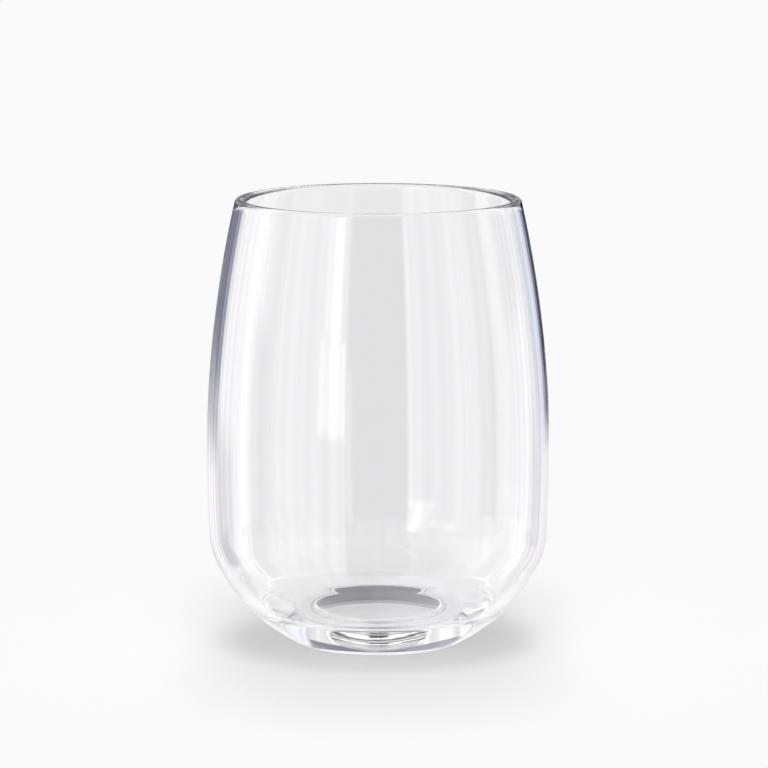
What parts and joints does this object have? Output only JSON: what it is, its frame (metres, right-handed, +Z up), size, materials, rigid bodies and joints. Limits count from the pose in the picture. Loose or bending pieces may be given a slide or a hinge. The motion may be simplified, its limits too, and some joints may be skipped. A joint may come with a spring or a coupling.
{
  "type": "stemless wine glass",
  "caption": "Clear stemless wine glass with a rounded belly, a side that leans in to a plain rounded rim, a solid base and a shallow round recess inside its foot ring.",
  "frame": {"origin": "middle of the foot ring's flat underside, on the table", "axes": "+Z up along the glass's axis of revolution, from the foot to the rim; +X and +Y are alike"},
  "size_m": [0.089, 0.089, 0.1155],
  "materials": {
    "clear_glass": "clear and polished"
  },
  "bodies": {
    "root": {"bowl": "clear_glass"}
  },
  "joints": []
}
